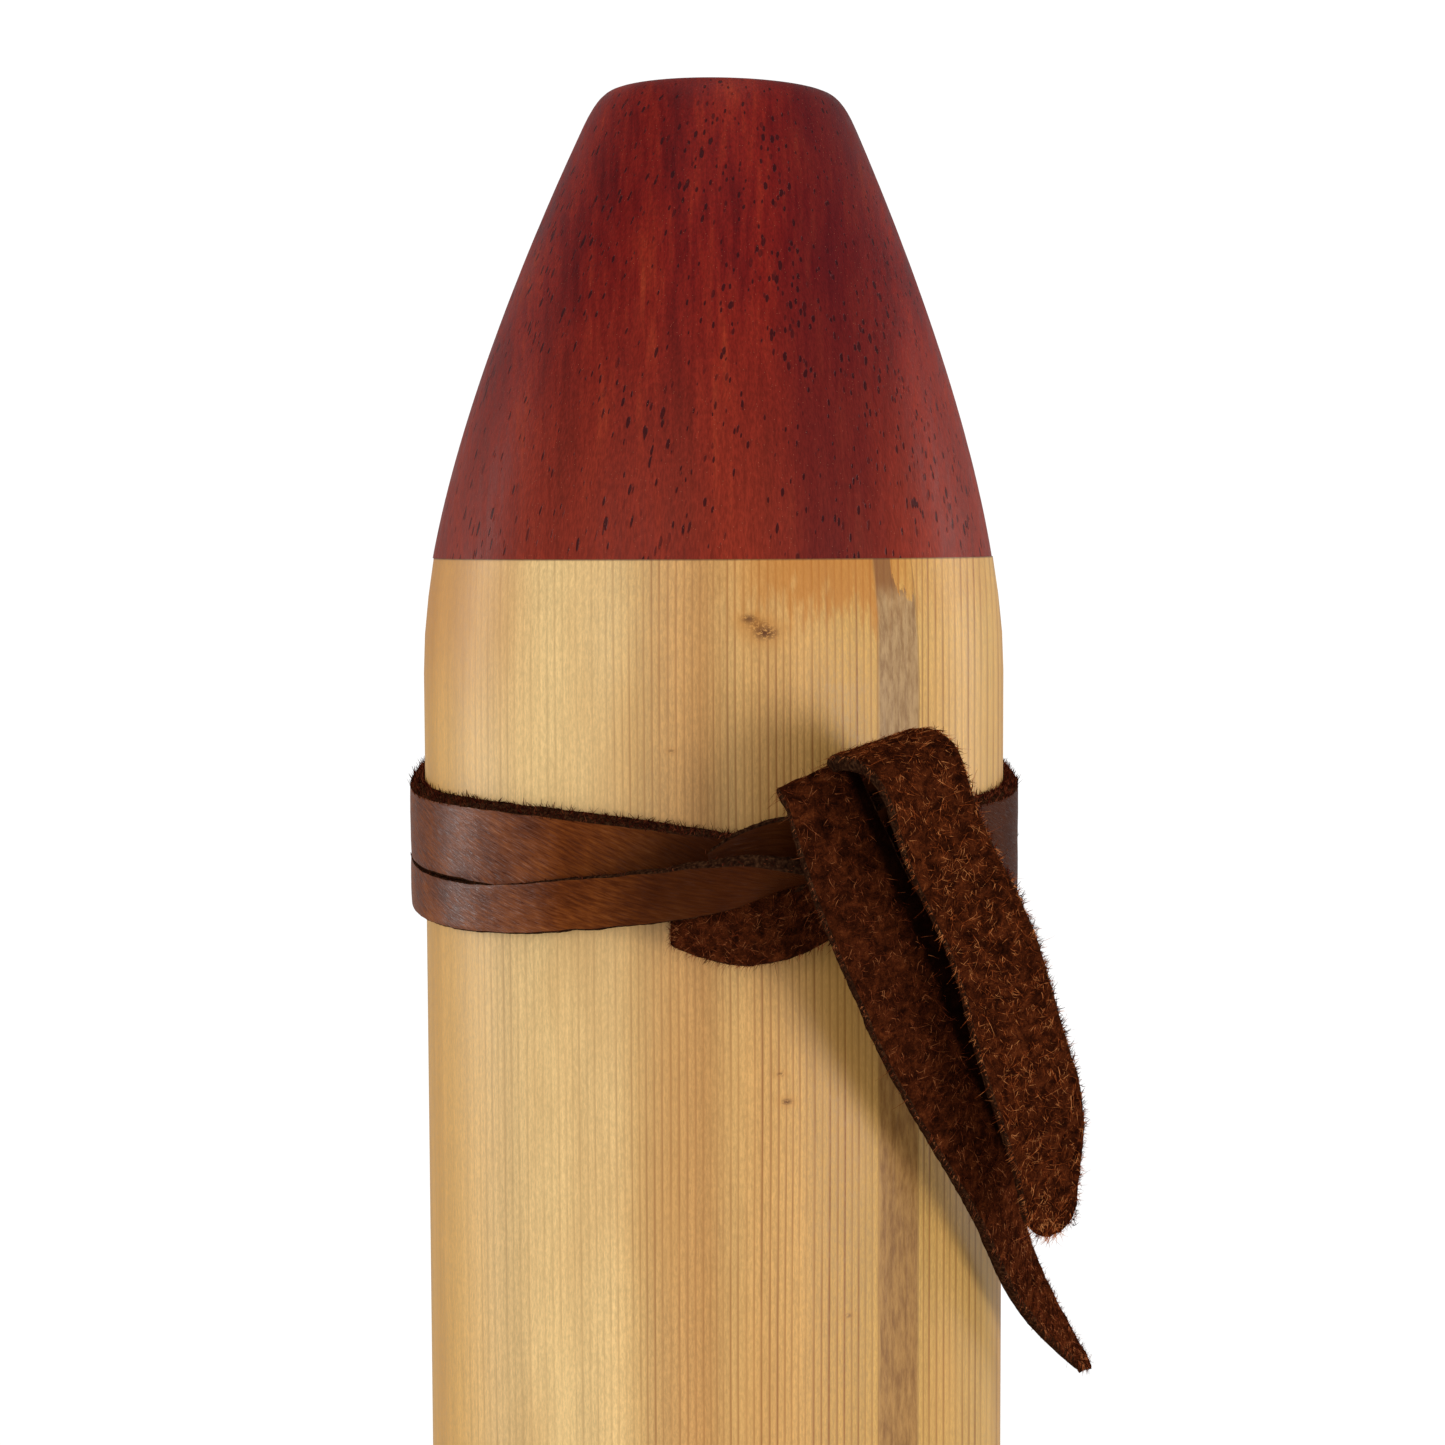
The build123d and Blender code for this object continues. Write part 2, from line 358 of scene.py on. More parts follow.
def build_lace(stations, bight_along, materials):
    """The whole lace as one closed mesh, mapped in its own length and width."""
    section = lace_section()
    total = stations[-1].along
    vertices, faces, surfaces, marks = [], [], [], []
    for station in stations:
        half = station.width / 2 * tip_share(station, total)
        thick = LACE_THICKNESS / 2
        bevel = bevel_at(station, bight_along)
        for across, level, surface in section:
            out, aside = surface_offset(station, across, level, surface)
            pared = bevel * max(0.0, across) ** 6 * (level + 1) / 2
            place = station.centre + station.side * (across * half + aside - pared)
            place = place + station.grain * (level * thick + math.copysign(out, level))
            vertices.append(place * MM)
            marks.append((station.along, across * half + FLESH_MAP_SHIFT * (surface == FLESH)))
    ring = len(section)
    for row in range(len(stations) - 1):
        for column in range(ring):
            following = (column + 1) % ring
            a = row * ring + column
            b = row * ring + following
            faces.append((a, b, b + ring, a + ring))
            kinds = (section[column][2], section[following][2])
            surfaces.append(kinds[0] if kinds[0] == kinds[1] else EDGE)
    faces.append(tuple(reversed(range(ring))))
    faces.append(tuple(range(len(vertices) - ring, len(vertices))))
    surfaces += [EDGE, EDGE]
    mesh = bpy.data.meshes.new("leather_lace")
    mesh.from_pydata(vertices, [], faces)
    for material in materials:
        mesh.materials.append(material)
    uv_layer = mesh.uv_layers.new(name="lace")
    for polygon in mesh.polygons:
        polygon.use_smooth = True
        polygon.material_index = surfaces[polygon.index]
        for loop in polygon.loop_indices:
            along, across = marks[mesh.loops[loop].vertex_index]
            uv_layer.data[loop].uv = (along / MAP_SCALE, across / MAP_SCALE)
    mesh.validate()
    lace = bpy.data.objects.new("leather_lace", mesh)
    scene.collection.objects.link(lace)
    return lace


# ---------------------------------------------------------------- fibres on the flesh side and the edges

FIBRE_RINGS = 3
FIBRE_SIDES = 3
COMBED_SPREAD = 20
MATTED_SPREAD = 50
EDGE_ZONE = 0.92
HOLLOW_ZONE = 0.6


def add_fibre(vertices, faces, root, direction, lift, bend, length, radius):
    """A thin three-sided hair that tapers from its root to its tip."""
    tangent = direction.normalized()
    aside = tangent.cross(lift).normalized()
    start = len(vertices)
    place = root.copy()
    for ring in range(FIBRE_RINGS):
        share = ring / (FIBRE_RINGS - 1)
        width = radius * (1 - 0.8 * share)
        over = aside.cross(tangent).normalized()
        for corner in range(FIBRE_SIDES):
            angle = 2 * math.pi * corner / FIBRE_SIDES
            vertices.append((place + (aside * math.cos(angle) + over * math.sin(angle)) * width) * MM)
        tangent = (tangent + bend / (FIBRE_RINGS - 1)).normalized()
        place = place + tangent * (length / (FIBRE_RINGS - 1))
    for ring in range(FIBRE_RINGS - 1):
        for corner in range(FIBRE_SIDES):
            following = (corner + 1) % FIBRE_SIDES
            a = start + FIBRE_SIDES * ring + corner
            b = start + FIBRE_SIDES * ring + following
            faces.append((a, b, b + FIBRE_SIDES, a + FIBRE_SIDES))
    faces.append((start + 2, start + 1, start))
    tip = start + FIBRE_SIDES * (FIBRE_RINGS - 1)
    faces.append((tip, tip + 1, tip + 2))


def new_mesh_object(name, vertices, faces):
    mesh = bpy.data.meshes.new(name)
    mesh.from_pydata(vertices, [], faces)
    mesh.validate()
    piece = bpy.data.objects.new(name, mesh)
    scene.collection.objects.link(piece)
    return piece


def station_at(stations, along):
    """The last cross-section before a length along the lace."""
    low, high = 0, len(stations) - 1
    while high - low > 1:
        middle = (low + high) // 2
        if stations[middle].along < along:
            low = middle
        else:
            high = middle
    return stations[low]


def along_at(stations, place):
    """How far along the lace a place on it lies."""
    return min(stations, key=lambda station: (station.centre - place).length).along


def flesh_fibres(name, stations, begin, end, count, towards_tip, seed, bare_edge=0, combed_from=math.inf,
                 hollow_until=0):
    """Matted fibres over the flesh side between two lengths along the lace, combed flat past combed_from.

    towards_tip is the way they lie, bare_edge the edge where they are cut short, and none grow in the
    hollow at the other edge before hollow_until.
    """
    draw = random.Random(seed)
    total = stations[-1].along
    vertices, faces = [], []
    for _ in range(count):
        station = station_at(stations, draw.uniform(begin, end))
        half = station.width / 2 * tip_share(station, total)
        across = draw.uniform(-1.0, 1.0)
        if across > HOLLOW_ZONE and station.along < hollow_until:
            continue
        flesh = -station.grain
        root = station.centre + station.side * (across * half) + flesh * (LACE_THICKNESS / 2 - 0.03)
        spread = COMBED_SPREAD if station.along > combed_from else MATTED_SPREAD
        angle = math.radians(draw.gauss(0, spread))
        flat = station.run * towards_tip * math.cos(angle) + station.side * math.sin(angle)
        lifted = draw.uniform(0.05, 0.45)
        length = draw.uniform(0.4, 1.1) * (2 if draw.random() < 0.06 else 1)
        if across * bare_edge > EDGE_ZONE:
            length *= 0.35
        elif abs(across) > EDGE_ZONE:
            flat = flat + station.side * math.copysign(draw.uniform(0.2, 1.0), across)
            length *= 0.7
        direction = flat + flesh * lifted
        bend = station.side * draw.uniform(-1.8, 1.8) - flesh * draw.uniform(0.0, 0.9)
        add_fibre(vertices, faces, root, direction, flesh, bend, length, draw.uniform(0.018, 0.036))
    return new_mesh_object(name, vertices, faces)


def edge_fibres(name, stations, bight_along, stretches, seed):
    """Short fibres that stand off the cut edges, in stretches of (begin, end, edge, count, longest)."""
    draw = random.Random(seed)
    vertices, faces = [], []
    for begin, end, edge, count, longest in stretches:
        for _ in range(count):
            station = station_at(stations, draw.uniform(begin, end))
            outwards = station.side * edge
            flesh = -station.grain
            level = draw.uniform(-0.95, 0.95)
            pared = bevel_at(station, bight_along) * (level + 1) / 2 if edge > 0 else 0
            root = station.centre + outwards * (station.width / 2 - 0.1 - pared)
            root = root - flesh * (LACE_THICKNESS / 2 * level)
            direction = outwards + station.run * draw.gauss(0, 0.8) + flesh * draw.gauss(-0.25, 0.25)
            bend = station.run * draw.uniform(-1.2, 1.2)
            length = longest * draw.uniform(0.2, 1.0) ** 2
            add_fibre(vertices, faces, root, direction, flesh, bend, length, draw.uniform(0.03, 0.065))
    return new_mesh_object(name, vertices, faces)


# ---------------------------------------------------------------- materials

def srgb(red, green, blue):
    """A colour on the usual 0 to 255 scale as the linear values that a shader takes."""
    linear = []
    for value in (red, green, blue):
        share = value / 255
        linear.append(share / 12.92 if share <= 0.04045 else ((share + 0.055) / 1.055) ** 2.4)
    return (*linear, 1)


class Shader:
    """A material's node tree, with one short call for each kind of node that it needs."""

    def __init__(self, name):
        self.material = bpy.data.materials.new(name)
        self.material.use_nodes = True
        self.tree = self.material.node_tree
        self.surface = self.tree.nodes["Principled BSDF"]

    def node(self, kind, inputs=None, output=0, **settings):
        made = self.tree.nodes.new(kind)
        for setting, value in settings.items():
            setattr(made, setting, value)
        for key, value in (inputs or {}).items():
            self.feed(made.inputs[key], value)
        return made.outputs[output]

    def feed(self, socket, value):
        if isinstance(value, bpy.types.NodeSocket):
            self.tree.links.new(value, socket)
        else:
            socket.default_value = value

    def set(self, **values):
        for key, value in values.items():
            self.feed(self.surface.inputs[key.replace("_", " ").title().replace("Ior", "IOR")], value)

    def math(self, operation, a, b=0.0):
        return self.node("ShaderNodeMath", {0: a, 1: b}, operation=operation)

    def split(self, vector):
        """The three parts of a vector."""
        parts = self.tree.nodes.new("ShaderNodeSeparateXYZ")
        self.feed(parts.inputs[0], vector)
        return tuple(parts.outputs)

    def millimetres(self):
        """The place on the object in millimetres."""
        place = self.node("ShaderNodeTexCoord", output=3)
        return self.node("ShaderNodeVectorMath", {0: place, "Scale": 1 / MM}, operation="SCALE")

    def stretched(self, place, x, y, z):
        return self.node("ShaderNodeVectorMath", {0: place, 1: (x, y, z)}, operation="MULTIPLY")

    def noise(self, vector, scale=1.0, detail=2.0, roughness=0.5, distortion=0.0):
        inputs = {"Vector": vector, "Scale": scale, "Detail": detail, "Roughness": roughness}
        return self.node("ShaderNodeTexNoise", {**inputs, "Distortion": distortion})

    def noise_of(self, value, scale=1.0, detail=1.0):
        made = self.tree.nodes.new("ShaderNodeTexNoise")
        made.noise_dimensions = "1D"
        self.feed(made.inputs["W"], value)
        made.inputs["Scale"].default_value = scale
        made.inputs["Detail"].default_value = detail
        return made.outputs[0]

    def spread(self, value, low, high, to_low=0.0, to_high=1.0, smooth=True):
        inputs = {"Value": value, "From Min": low, "From Max": high, "To Min": to_low, "To Max": to_high}
        kind = "SMOOTHSTEP" if smooth else "LINEAR"
        return self.node("ShaderNodeMapRange", inputs, interpolation_type=kind)

    def ramp(self, value, stops):
        made = self.tree.nodes.new("ShaderNodeValToRGB")
        ramp = made.color_ramp
        while len(ramp.elements) < len(stops):
            ramp.elements.new(0.5)
        for element, (position, colour) in zip(ramp.elements, stops):
            element.position = position
            element.color = colour
        self.feed(made.inputs[0], value)
        return made.outputs[0]

    def mix(self, share, a, b, blend="MIX"):
        made = self.tree.nodes.new("ShaderNodeMix")
        made.data_type = "RGBA"
        made.blend_type = blend
        self.feed(made.inputs[0], share)
        self.feed(made.inputs[6], a)
        self.feed(made.inputs[7], b)
        return made.outputs[2]

    def shade(self, colour, factor):
        """A colour made lighter or darker by a factor."""
        grey = self.node("ShaderNodeCombineColor", {0: factor, 1: factor, 2: factor})
        return self.mix(1.0, colour, grey, "MULTIPLY")

    def bump(self, height, strength, distance_mm):
        inputs = {"Height": height, "Strength": strength, "Distance": distance_mm * MM}
        return self.node("ShaderNodeBump", inputs)


def grey(level):
    return (level, level, level, 1)


RING_SPACING = 0.59
STREAK_AZIMUTHS = (31.6, 41.0)
SEAM_AZIMUTH = 41.0


# Small dark marks as x, height from the seam, radius and darkness
MARKS = [
    (3.5, -5.1, 1.0, 0.9),
    (4.1, -5.7, 1.1, 0.95),
    (2.8, -4.6, 0.7, 0.8),
    (5.7, -42.4, 0.5, 0.85),
    (5.2, -40.2, 0.35, 0.7),
    (-3.2, -14.8, 0.3, 0.6),
    (-4.0, -21.0, 0.3, 0.5),
    (10.6, -60.0, 0.35, 0.6),
]


def ring_lines(wood, place, x, where, ring_shift):
    """How dark the growth rings' lines are: they run straight up, and fade towards the left."""
    drift = wood.noise(wood.stretched(place, 0.03, 0.03, 0.006), detail=2.0)
    drift = wood.math("MULTIPLY", wood.math("SUBTRACT", drift, 0.5), 3.0)
    depth = wood.math("ADD", x, drift)
    uneven = wood.math("MULTIPLY", wood.noise_of(depth, 0.22, 2.0), 1.6)
    rings = wood.math("ADD", wood.math("MULTIPLY", depth, 1 / RING_SPACING), uneven)
    rings = wood.math("ADD", rings, ring_shift)
    phase = wood.math("FRACT", rings)
    line = wood.ramp(phase, [
        (0.0, grey(0.1)), (0.08, grey(0.0)), (0.56, grey(0.06)),
        (0.74, grey(0.5)), (0.86, grey(1.0)), (1.0, grey(0.3)),
    ])
    each = wood.node("ShaderNodeTexWhiteNoise", {"W": wood.math("FLOOR", rings)}, noise_dimensions="1D")
    line = wood.math("MULTIPLY", line, wood.spread(each, 0.0, 1.0, 0.6, 1.0))
    strength = wood.ramp(where, [
        (0.0, grey(0.05)), (0.06, grey(0.08)), (0.12, grey(0.4)), (0.33, grey(0.36)), (0.38, grey(0.7)),
        (0.5, grey(0.65)), (0.6, grey(0.9)), (0.7, grey(1.0)), (1.0, grey(1.0)),
    ])
    line = wood.math("MULTIPLY", line, strength)
    broken = wood.noise(wood.stretched(place, 0.5, 0.5, 0.04), detail=3.0)
    return wood.math("MULTIPLY", line, wood.spread(broken, 0.3, 0.65, 0.45, 1.0))


def with_streak(wood, colour, place, azimuth, below_seam):
    """The colour with a mottled grey-brown streak beside the glue line, and the streak's mask."""
    ragged = wood.noise(wood.stretched(place, 1.2, 1.2, 0.12), detail=3.0)
    ragged = wood.math("ADD", azimuth, wood.spread(ragged, 0.0, 1.0, -0.7, 0.7, smooth=False))
    mottle = wood.noise(wood.stretched(place, 2.2, 2.2, 0.5), detail=4.0, roughness=0.7)
    narrowing = wood.math("ADD", below_seam, wood.spread(mottle, 0.2, 0.8, -1.2, 1.2))
    narrowing = wood.spread(narrowing, -3.4, -1.6, 0.0, 5.2)
    streak = wood.math("MULTIPLY", wood.spread(ragged, STREAK_AZIMUTHS[0] - 0.5, STREAK_AZIMUTHS[0] + 0.5),
                       wood.spread(wood.math("ADD", azimuth, narrowing), STREAK_AZIMUTHS[1] - 0.3,
                                   STREAK_AZIMUTHS[1], 1.0, 0.0))
    upper = wood.mix(wood.spread(mottle, 0.3, 0.7), srgb(128, 92, 58), srgb(176, 142, 100))
    lower = wood.mix(wood.spread(mottle, 0.3, 0.7), srgb(118, 74, 30), srgb(166, 120, 62))
    streak_colour = wood.mix(wood.spread(below_seam, -16.0, -36.0), upper, lower)
    streak_colour = wood.mix(wood.spread(below_seam, -3.4, -1.6), streak_colour, srgb(116, 68, 34))
    return wood.mix(wood.math("MULTIPLY", streak, 0.85), colour, streak_colour), streak


def with_marks(wood, colour, place, x, below_seam, front):
    """The colour with small dark marks on the front, each in a warm ring."""
    crumbs = wood.noise(wood.stretched(place, 3.2, 3.2, 5.0), detail=3.0, roughness=0.7)
    for mark_x, mark_z, radius, dark in MARKS:
        along_x = wood.math("MULTIPLY", wood.math("SUBTRACT", x, mark_x), 0.75)
        along_z = wood.math("MULTIPLY", wood.math("SUBTRACT", below_seam, mark_z), 1.3)
        reach = wood.math("SQRT", wood.math("ADD", wood.math("MULTIPLY", along_x, along_x),
                                            wood.math("MULTIPLY", along_z, along_z)))
        mark = wood.math("MULTIPLY", wood.spread(reach, 0.0, radius, 1.0, 0.0), front)
        ring = wood.spread(reach, radius * 0.5, radius * 2.2, 0.35 * dark, 0.0)
        colour = wood.mix(wood.math("MULTIPLY", ring, front), colour, srgb(190, 128, 56))
        mark = wood.math("MULTIPLY", mark, wood.spread(crumbs, 0.42, 0.5))
        colour = wood.mix(wood.math("MULTIPLY", mark, dark), colour, srgb(84, 40, 12))
    return colour


def softwood(name, ring_shift):
    """Straight-grained honey-blond softwood: ring lines, broad bands that are partly painted light, a
    grey-brown streak and a few marks.
    """
    wood = Shader(name)
    place = wood.millimetres()
    x, y, z = wood.split(place)
    below_seam = wood.math("SUBTRACT", z, SEAM_HEIGHT)
    azimuth = wood.math("ARCTAN2", x, wood.math("MULTIPLY", y, -1.0))
    azimuth = wood.math("MULTIPLY", azimuth, 180 / math.pi)

    where = wood.spread(x, -TUBE_R, TUBE_R, smooth=False)
    line = ring_lines(wood, place, x, where, ring_shift)
    # Broad bands across the front: partly the wood's own tone, partly painted light, lighter to the left of
    # the centre and darker at the centre.
    bands_and_painted_light = wood.ramp(where, [
        (0.0, srgb(218, 168, 92)), (0.03, srgb(216, 163, 84)), (0.07, srgb(226, 176, 98)),
        (0.14, srgb(240, 199, 134)), (0.24, srgb(246, 208, 142)), (0.34, srgb(238, 199, 134)),
        (0.38, srgb(224, 180, 114)), (0.42, srgb(208, 160, 98)), (0.485, srgb(201, 149, 87)),
        (0.53, srgb(214, 168, 103)), (0.57, srgb(208, 159, 94)), (0.64, srgb(209, 160, 92)),
        (0.70, srgb(202, 154, 80)), (0.8, srgb(203, 158, 84)), (0.88, srgb(204, 159, 88)),
        (0.96, srgb(208, 164, 92)), (1.0, srgb(204, 154, 86)),
    ])
    broad = wood.noise(wood.stretched(place, 0.28, 0.28, 0.008), detail=3.0, roughness=0.6)
    colour = wood.shade(bands_and_painted_light, wood.spread(broad, 0.25, 0.75, 0.89, 1.1))
    fibre = wood.noise(wood.stretched(place, 5.0, 5.0, 0.22), detail=3.0, roughness=0.65)
    colour = wood.shade(colour, wood.spread(fibre, 0.25, 0.75, 0.91, 1.07))
    fleck = wood.noise(wood.stretched(place, 6.5, 6.5, 2.0), detail=2.0, roughness=0.7)
    colour = wood.shade(colour, wood.spread(fleck, 0.3, 0.7, 0.88, 1.1))
    line = wood.math("MULTIPLY", line, wood.spread(fleck, 0.3, 0.6, 0.72, 1.0))
    fade = wood.math("MULTIPLY", wood.spread(x, 4.0, 12.0), wood.spread(below_seam, -2.0, -48.0, 1.05, 0.93))
    plain = wood.spread(x, 4.0, 12.0, 1.0, 0.0)
    colour = wood.shade(colour, wood.math("ADD", fade, plain))
    warm = wood.noise(wood.stretched(place, 0.11, 0.11, 0.035), detail=2.0)
    colour = wood.mix(wood.spread(warm, 0.45, 0.75, 0.0, 0.35), colour, srgb(205, 152, 84))
    colour = wood.mix(wood.math("MULTIPLY", line, 0.95), colour, srgb(124, 62, 12))

    colour, streak = with_streak(wood, colour, place, azimuth, below_seam)
    patch = wood.math("MULTIPLY", wood.spread(x, -2.0, 7.0), wood.spread(x, 12.5, 18.0, 1.0, 0.25))
    ragged_edge = wood.noise(wood.stretched(place, 1.3, 1.3, 0.2), detail=4.0, roughness=0.65)
    height = wood.math("ADD", below_seam, wood.spread(ragged_edge, 0.2, 0.8, -3.4, 2.4))
    front = wood.spread(y, -5.0, -10.0)
    patch = wood.math("MULTIPLY", patch, wood.math("MULTIPLY", wood.spread(height, -6.2, -2.4), front))
    patch = wood.math("MULTIPLY", patch, wood.spread(streak, 0.0, 1.0, 0.68, 0.12))
    colour = wood.mix(patch, colour, srgb(182, 108, 24))
    # More orange at the upper left, near the seam.
    warmer_upper_left = wood.math("MULTIPLY", wood.spread(x, -12.0, -21.0), wood.spread(below_seam, -17.0, -2.0))
    colour = wood.mix(wood.math("MULTIPLY", warmer_upper_left, 0.5), colour, srgb(190, 118, 36))

    colour = with_marks(wood, colour, place, x, below_seam, front)
    from_seam = wood.math("ABSOLUTE", wood.math("SUBTRACT", azimuth, SEAM_AZIMUTH))
    seam = wood.spread(from_seam, 0.0, 0.22, 0.45, 0.0)
    colour = wood.mix(seam, colour, srgb(110, 74, 40))
    end_line = wood.spread(below_seam, -0.16, -0.02, 0.0, 0.75)
    colour = wood.mix(end_line, colour, srgb(84, 44, 22))

    wood.set(base_color=colour, specular_ior_level=0.3)
    wood.set(roughness=wood.spread(fleck, 0.3, 0.7, 0.36, 0.5))
    relief = wood.math("ADD", wood.math("MULTIPLY", line, -0.6), wood.math("MULTIPLY", fibre, 0.8))
    wood.set(normal=wood.bump(relief, 0.35, 0.05))
    return wood.material


def open_pores(wood, place):
    """Short pores that lean to the right, in two sizes, crowded in some places. 1 in a pore."""
    angle = math.radians(-8)
    leaning = wood.node("ShaderNodeVectorRotate", {"Vector": place, "Angle": angle}, rotation_type="Y_AXIS")
    wobble = wood.noise(wood.stretched(place, 2.4, 2.4, 0.8), detail=2.0)
    crowding = wood.noise(wood.stretched(place, 0.2, 0.2, 0.05), detail=2.0)
    limit = wood.spread(crowding, 0.35, 0.7, 0.19, 0.3)
    pore = 0.0
    for shift, size in ((0.0, 1.5), (5.3, 2.1)):
        cells = wood.stretched(leaning, size, size, size * 0.17)
        cells = wood.node("ShaderNodeVectorMath", {0: cells, 1: (shift, shift, shift)}, operation="ADD")
        near = wood.tree.nodes.new("ShaderNodeTexVoronoi")
        wood.feed(near.inputs["Vector"], cells)
        near.inputs["Scale"].default_value = 1.0
        depth = wood.math("SUBTRACT", limit, near.outputs["Distance"])
        depth = wood.math("ADD", depth, wood.spread(wobble, 0.2, 0.8, -0.09, 0.07))
        depth = wood.spread(depth, 0.0, 0.07)
        chance = wood.node("ShaderNodeSeparateColor", {0: near.outputs["Color"]})
        kept = wood.math("MULTIPLY", depth, wood.spread(chance, 0.1, 0.7, 0.0, 1.0))
        pore = wood.math("MAXIMUM", pore, kept)
    return pore


def red_hardwood(name):
    """Dark red-brown hardwood with long streaks and short open pores."""
    wood = Shader(name)
    place = wood.millimetres()
    streaks = wood.noise(wood.stretched(place, 0.30, 0.12, 0.008), detail=3.0, roughness=0.55)
    fine = wood.noise(wood.stretched(place, 2.2, 0.5, 0.035), detail=2.0, roughness=0.6)
    hair = wood.noise(wood.stretched(place, 7.0, 7.0, 0.22), detail=2.0, roughness=0.6)
    tone = wood.math("ADD", wood.math("MULTIPLY", streaks, 0.62), wood.math("MULTIPLY", fine, 0.38))
    colour = wood.ramp(tone, [
        (0.34, srgb(84, 9, 11)), (0.44, srgb(103, 15, 13)), (0.52, srgb(117, 22, 15)),
        (0.6, srgb(130, 32, 18)), (0.7, srgb(150, 50, 26)),
    ])
    x, _, z = wood.split(place)
    low = wood.spread(z, SEAM_HEIGHT + 26, SEAM_HEIGHT, 0.0, 0.5)
    colour = wood.mix(low, colour, srgb(142, 54, 34))
    colour = wood.shade(colour, wood.spread(hair, 0.25, 0.75, 0.86, 1.12))
    blotch = wood.noise(wood.stretched(place, 0.16, 0.16, 0.06), detail=3.0)
    colour = wood.mix(wood.spread(blotch, 0.55, 0.8, 0.0, 0.3), colour, srgb(60, 10, 20))
    dark_band = wood.math("MULTIPLY", wood.spread(x, 3.5, 8.0), wood.spread(x, 11.5, 15.5, 1.0, 0.0))
    colour = wood.mix(wood.math("MULTIPLY", dark_band, 0.58), colour, srgb(70, 13, 20))
    colour = wood.shade(colour, wood.spread(hair, 0.25, 0.75, 0.9, 1.1))

    pore = open_pores(wood, place)
    colour = wood.mix(wood.math("MULTIPLY", pore, 0.85), colour, srgb(38, 7, 12))

    specks = wood.node("ShaderNodeTexVoronoi", {"Vector": wood.stretched(place, 0.9, 0.9, 0.45)})
    speck = wood.spread(specks, 0.04, 0.08, 0.7, 0.0)
    colour = wood.mix(speck, colour, srgb(214, 140, 106))

    wood.set(base_color=colour, specular_ior_level=0.09)
    wood.set(roughness=wood.spread(fine, 0.3, 0.7, 0.36, 0.48))
    relief = wood.math("SUBTRACT", wood.math("MULTIPLY", hair, 0.35), pore)
    wood.set(normal=wood.bump(relief, 0.6, 0.08))
    return wood.material


def pale_dowel(name):
    """Plain pale dowel for the baffle pins."""
    wood = Shader(name)
    place = wood.millimetres()
    fibre = wood.noise(place, 1.6, 4.0, 0.6)
    colour = wood.mix(fibre, srgb(188, 146, 98), srgb(222, 186, 140))
    wood.set(base_color=colour, roughness=wood.spread(fibre, 0.2, 0.8, 0.55, 0.75))
    wood.set(normal=wood.bump(fibre, 0.4, 0.1))
    return wood.material


def gravel(name):
    """Mixed grey and brown grit."""
    stone = Shader(name)
    place = stone.millimetres()
    patches = stone.noise(place, 0.35, 4.0, 0.6)
    grit = stone.noise(place, 3.0, 4.0, 0.7)
    colour = stone.ramp(patches, [
        (0.3, srgb(92, 84, 76)), (0.45, srgb(142, 126, 108)),
        (0.6, srgb(168, 158, 146)), (0.75, srgb(120, 92, 70)),
    ])
    colour = stone.shade(colour, stone.spread(grit, 0.25, 0.75, 0.8, 1.15))
    stone.set(base_color=colour, roughness=stone.spread(grit, 0.2, 0.8, 0.5, 0.85))
    stone.set(normal=stone.bump(grit, 0.6, 0.15))
    return stone.material


def lace_place(shader):
    """Along and across the lace in millimetres, from its own map. The flesh side's across is shifted."""
    uv = shader.node("ShaderNodeUVMap", uv_map="lace")
    return shader.node("ShaderNodeVectorMath", {0: uv, "Scale": MAP_SCALE}, operation="SCALE")


def leather_grain(name):
    """The smooth side: fine slanting streaks, glossy at the left of the turns, darkened towards the knot by
    painted shade.
    """
    leather = Shader(name)
    flat = lace_place(leather)
    slanted = leather.node("ShaderNodeVectorRotate", {"Vector": flat, "Angle": math.radians(-19)},
                           rotation_type="Z_AXIS")
    streak = leather.noise(leather.stretched(slanted, 0.55, 4.5, 1), detail=4.0, roughness=0.65)
    scratch = leather.noise(leather.stretched(slanted, 0.8, 15.0, 1), detail=2.0, roughness=0.6)
    scratch = leather.spread(scratch, 0.52, 0.68)
    cloud = leather.noise(flat, 0.16, 3.0, 0.55)
    pits = leather.noise(flat, 5.0, 3.0, 0.6)
    tone = leather.math("ADD", leather.math("MULTIPLY", streak, 0.55), leather.math("MULTIPLY", cloud, 0.45))
    colour = leather.ramp(tone, [
        (0.32, srgb(64, 26, 9)), (0.46, srgb(98, 47, 17)),
        (0.56, srgb(124, 64, 24)), (0.7, srgb(156, 92, 46)),
    ])
    x, _, _ = leather.split(leather.millimetres())
    # Painted shade: the leather darkens towards the knot, standing in for the knot's shadow on the turns.
    painted_knot_shade = leather.spread(x, -12.5, -2.0, 0.0, 0.82)
    colour = leather.mix(painted_knot_shade, colour, srgb(44, 16, 4))
    shine = leather.spread(scratch, 0.0, 1.0, 0.2, 1.0, smooth=False)
    gloss = leather.math("MULTIPLY", leather.spread(x, -23.5, -20.5, 0.25, 1.0),
                         leather.spread(x, -16.0, -11.5, 1.0, 0.08))
    shine = leather.math("MULTIPLY", shine, gloss)
    leather.set(base_color=colour, specular_ior_level=shine)
    leather.set(roughness=leather.spread(streak, 0.3, 0.7, 0.26, 0.44))
    relief = leather.math("ADD", leather.math("MULTIPLY", streak, 1.0), leather.math("MULTIPLY", pits, 0.25))
    leather.set(normal=leather.bump(relief, 0.7, 0.1))
    return leather.material


def leather_edge(name):
    """The cut edge: dark brown packed fibres."""
    leather = Shader(name)
    grain = leather.noise(leather.millimetres(), 3.5, 3.0, 0.6)
    colour = leather.ramp(grain, [(0.3, srgb(22, 10, 6)), (0.5, srgb(44, 24, 14)), (0.7, srgb(74, 48, 30))])
    leather.set(base_color=colour, roughness=0.85, specular_ior_level=0.0)
    leather.set(normal=leather.bump(grain, 0.7, 0.15))
    return leather.material


